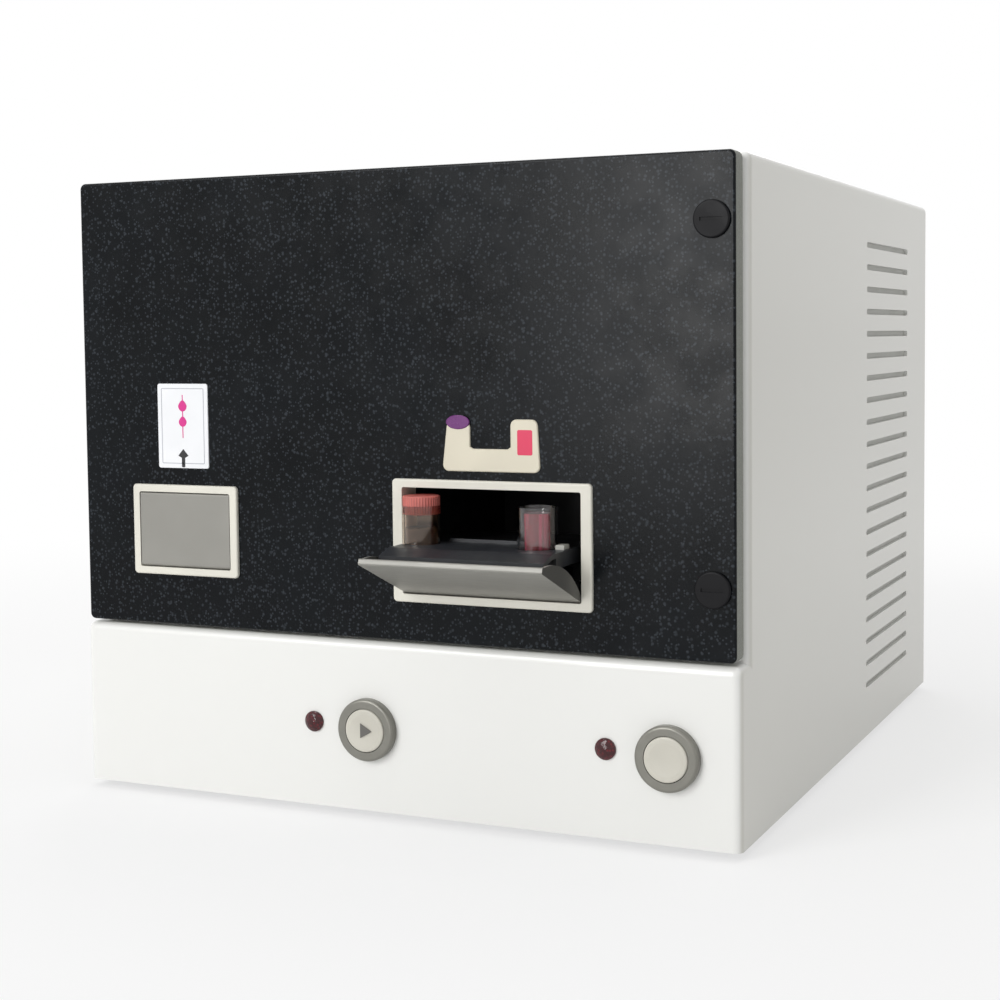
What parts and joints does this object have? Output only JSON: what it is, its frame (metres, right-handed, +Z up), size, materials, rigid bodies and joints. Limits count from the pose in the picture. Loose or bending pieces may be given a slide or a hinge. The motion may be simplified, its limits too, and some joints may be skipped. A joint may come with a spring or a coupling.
{
  "type": "flow cytometer",
  "caption": "Bench-top flow cytometer with a hinged black front door, two tube ports with drop-down flaps and sliding carriers, push buttons and a louvred pale housing.",
  "frame": {"origin": "on the floor under the middle of the whole object at rest, the open flap included", "axes": "+X to the right seen from the front, +Y from the front towards the back, +Z up"},
  "size_m": [0.35, 0.4555, 0.31],
  "materials": {
    "housing_white": "glossy off-white moulded housing",
    "door_black": "black with fine blue-grey speckle, semi-gloss",
    "frame_beige": "warm beige moulded frame",
    "flap_grey": "grey-beige satin moulded lid",
    "liner_black": "matt black",
    "carrier_dark": "dark grey moulded carrier",
    "amber_plastic": "clear amber tube",
    "clear_plastic": "clear polystyrene",
    "cap_salmon": "salmon red soft cap",
    "sample_red": "dark red sample in a clear tube",
    "button_beige": "satin beige push cap",
    "bezel_grey": "satin warm grey bezel",
    "light_red": "dark red lamp lens, unlit",
    "latch_black": "black latch knob on a steel stud",
    "feet_rubber": "black rubber",
    "screen_grey": "pale grey dust screen behind the louvres",
    "steel": "plain steel",
    "sheet_steel": "zinc-plated folded sheet",
    "rear_sheet": "powder-coated light grey sheet",
    "socket_steel": "plated socket shells",
    "chrome_wire": "plated wire",
    "aluminium": "machined aluminium",
    "anodised_black": "black anodised aluminium",
    "lens_glass": "optical glass",
    "quartz": "polished quartz",
    "board_green": "green circuit board",
    "black_plastic": "black moulded plastic",
    "rocker_black": "glossy black rocker",
    "fitting_white": "natural white plastic",
    "bottle_white": "translucent white bottle",
    "cap_blue": "blue ribbed screw cap"
  },
  "bodies": {
    "housing": {"housing_shell": "housing_white", "louvre_screens": "screen_grey", "base_tray": "sheet_steel", "rubber_feet": "feet_rubber", "hinge_brackets": "steel", "latch_strikes": "steel", "button_bezels": "bezel_grey", "button_switches": "black_plastic", "status_lights": "light_red", "light_holders": "black_plastic", "rear_panel": "rear_sheet", "rear_screws": "steel", "fan_housing": "black_plastic", "fan_guard": "chrome_wire", "power_inlet": "black_plastic", "rocker_frame": "black_plastic", "data_sockets": "socket_steel", "fluid_fittings": "fitting_white", "bench_posts": "steel", "optical_bench": "anodised_black", "laser_module": "aluminium", "beam_optics": "anodised_black", "lenses": "lens_glass", "flow_cell_mount": "aluminium", "flow_cell": "quartz", "detectors": "anodised_black", "filter_blocks": "anodised_black", "power_supply": "sheet_steel", "main_board": "board_green", "syringe_pump_frame": "aluminium", "syringe_barrel": "lens_glass", "valve_manifold": "fitting_white", "roller_pump_body": "black_plastic", "reagent_bottles": "bottle_white", "bottle_caps": "cap_blue"},
    "door": {"door_panel": "door_black", "hinge_pins": "steel", "guide_rods": "steel", "left_port_bezel": "frame_beige", "right_port_bezel": "frame_beige", "left_port_liner": "liner_black", "right_port_liner": "liner_black"},
    "right_flap": {"right_flap": "flap_grey"},
    "left_flap": {"left_flap": "flap_grey"},
    "right_carrier": {"right_carrier": "carrier_dark", "capped_tube": "amber_plastic", "tube_cap": "cap_salmon", "open_sleeve": "clear_plastic", "sample_tube": "sample_red"},
    "left_carrier": {"left_carrier": "carrier_dark", "check_tube": "clear_plastic"},
    "upper_latch": {"upper_latch": "latch_black"},
    "lower_latch": {"lower_latch": "latch_black"},
    "left_button": {"left_button_cap": "button_beige"},
    "right_button": {"right_button_cap": "button_beige"},
    "rocker": {"power_rocker": "rocker_black"},
    "fan": {"fan_rotor": "black_plastic"},
    "lead_screw": {"lead_screw": "steel"},
    "plunger": {"syringe_plunger": "steel"},
    "roller_rotor": {"roller_pump_rotor": "fitting_white"}
  },
  "joints": [
    {"name": "door_hinge", "type": "hinge", "parent": "housing", "child": "door", "pos_m": [-0.17, -0.17364, 0.198], "axis": [0, 0, -1], "range_deg": [0, 105]},
    {"name": "right_carrier_slide", "type": "slide", "parent": "door", "child": "right_carrier", "axis": [0, -1, 0], "range_m": [-0.054, 0]},
    {"name": "right_flap_hinge", "type": "hinge", "parent": "door", "child": "right_flap", "pos_m": [0.0559, -0.18319, 0.1121], "axis": [1, 0, 0], "range_deg": [-67, 0]},
    {"name": "left_carrier_slide", "type": "slide", "parent": "door", "child": "left_carrier", "axis": [0, -1, 0], "range_m": [0, 0.038]},
    {"name": "left_flap_hinge", "type": "hinge", "parent": "door", "child": "left_flap", "pos_m": [-0.11215, -0.18319, 0.1183], "axis": [1, 0, 0], "range_deg": [0, 67]},
    {"name": "upper_latch_turn", "type": "hinge", "parent": "door", "child": "upper_latch", "pos_m": [0.1625, -0.18314, 0.28], "axis": [0, 1, 0], "range_deg": [0, 90]},
    {"name": "lower_latch_turn", "type": "hinge", "parent": "door", "child": "lower_latch", "pos_m": [0.1625, -0.18314, 0.1195], "axis": [0, 1, 0], "range_deg": [0, 90]},
    {"name": "left_button_press", "type": "slide", "parent": "housing", "child": "left_button", "axis": [0, 1, 0], "range_m": [0, 0.003], "stiffness_N_per_m": 400},
    {"name": "right_button_press", "type": "slide", "parent": "housing", "child": "right_button", "axis": [0, 1, 0], "range_m": [0, 0.003], "stiffness_N_per_m": 400},
    {"name": "rocker_tilt", "type": "hinge", "parent": "housing", "child": "rocker", "pos_m": [-0.088, 0.21186, 0.04], "axis": [1, 0, 0], "range_deg": [-14, 0]},
    {"name": "fan_spin", "type": "hinge", "parent": "housing", "child": "fan", "pos_m": [0.105, 0.20386, 0.235], "axis": [0, 1, 0], "continuous": true},
    {"name": "screw_turn", "type": "hinge", "parent": "housing", "child": "lead_screw", "pos_m": [0.15, 0.06586, 0.08], "axis": [0, 0, -1], "range_deg": [0, 5401]},
    {"name": "plunger_slide", "type": "slide", "parent": "housing", "child": "plunger", "axis": [0, 0, 1], "range_m": [0, 0.03]},
    {"name": "roller_spin", "type": "hinge", "parent": "housing", "child": "roller_rotor", "pos_m": [-0.07, -0.03744, 0.148], "axis": [0, 1, 0], "continuous": true}
  ],
  "couplings": [
    {"joint": "right_flap_hinge", "follows": "right_carrier_slide", "rad_per_m": 21.655},
    {"joint": "left_flap_hinge", "follows": "left_carrier_slide", "rad_per_m": 30.773},
    {"joint": "screw_turn", "follows": "plunger_slide", "rad_per_m": 3141.6}
  ]
}
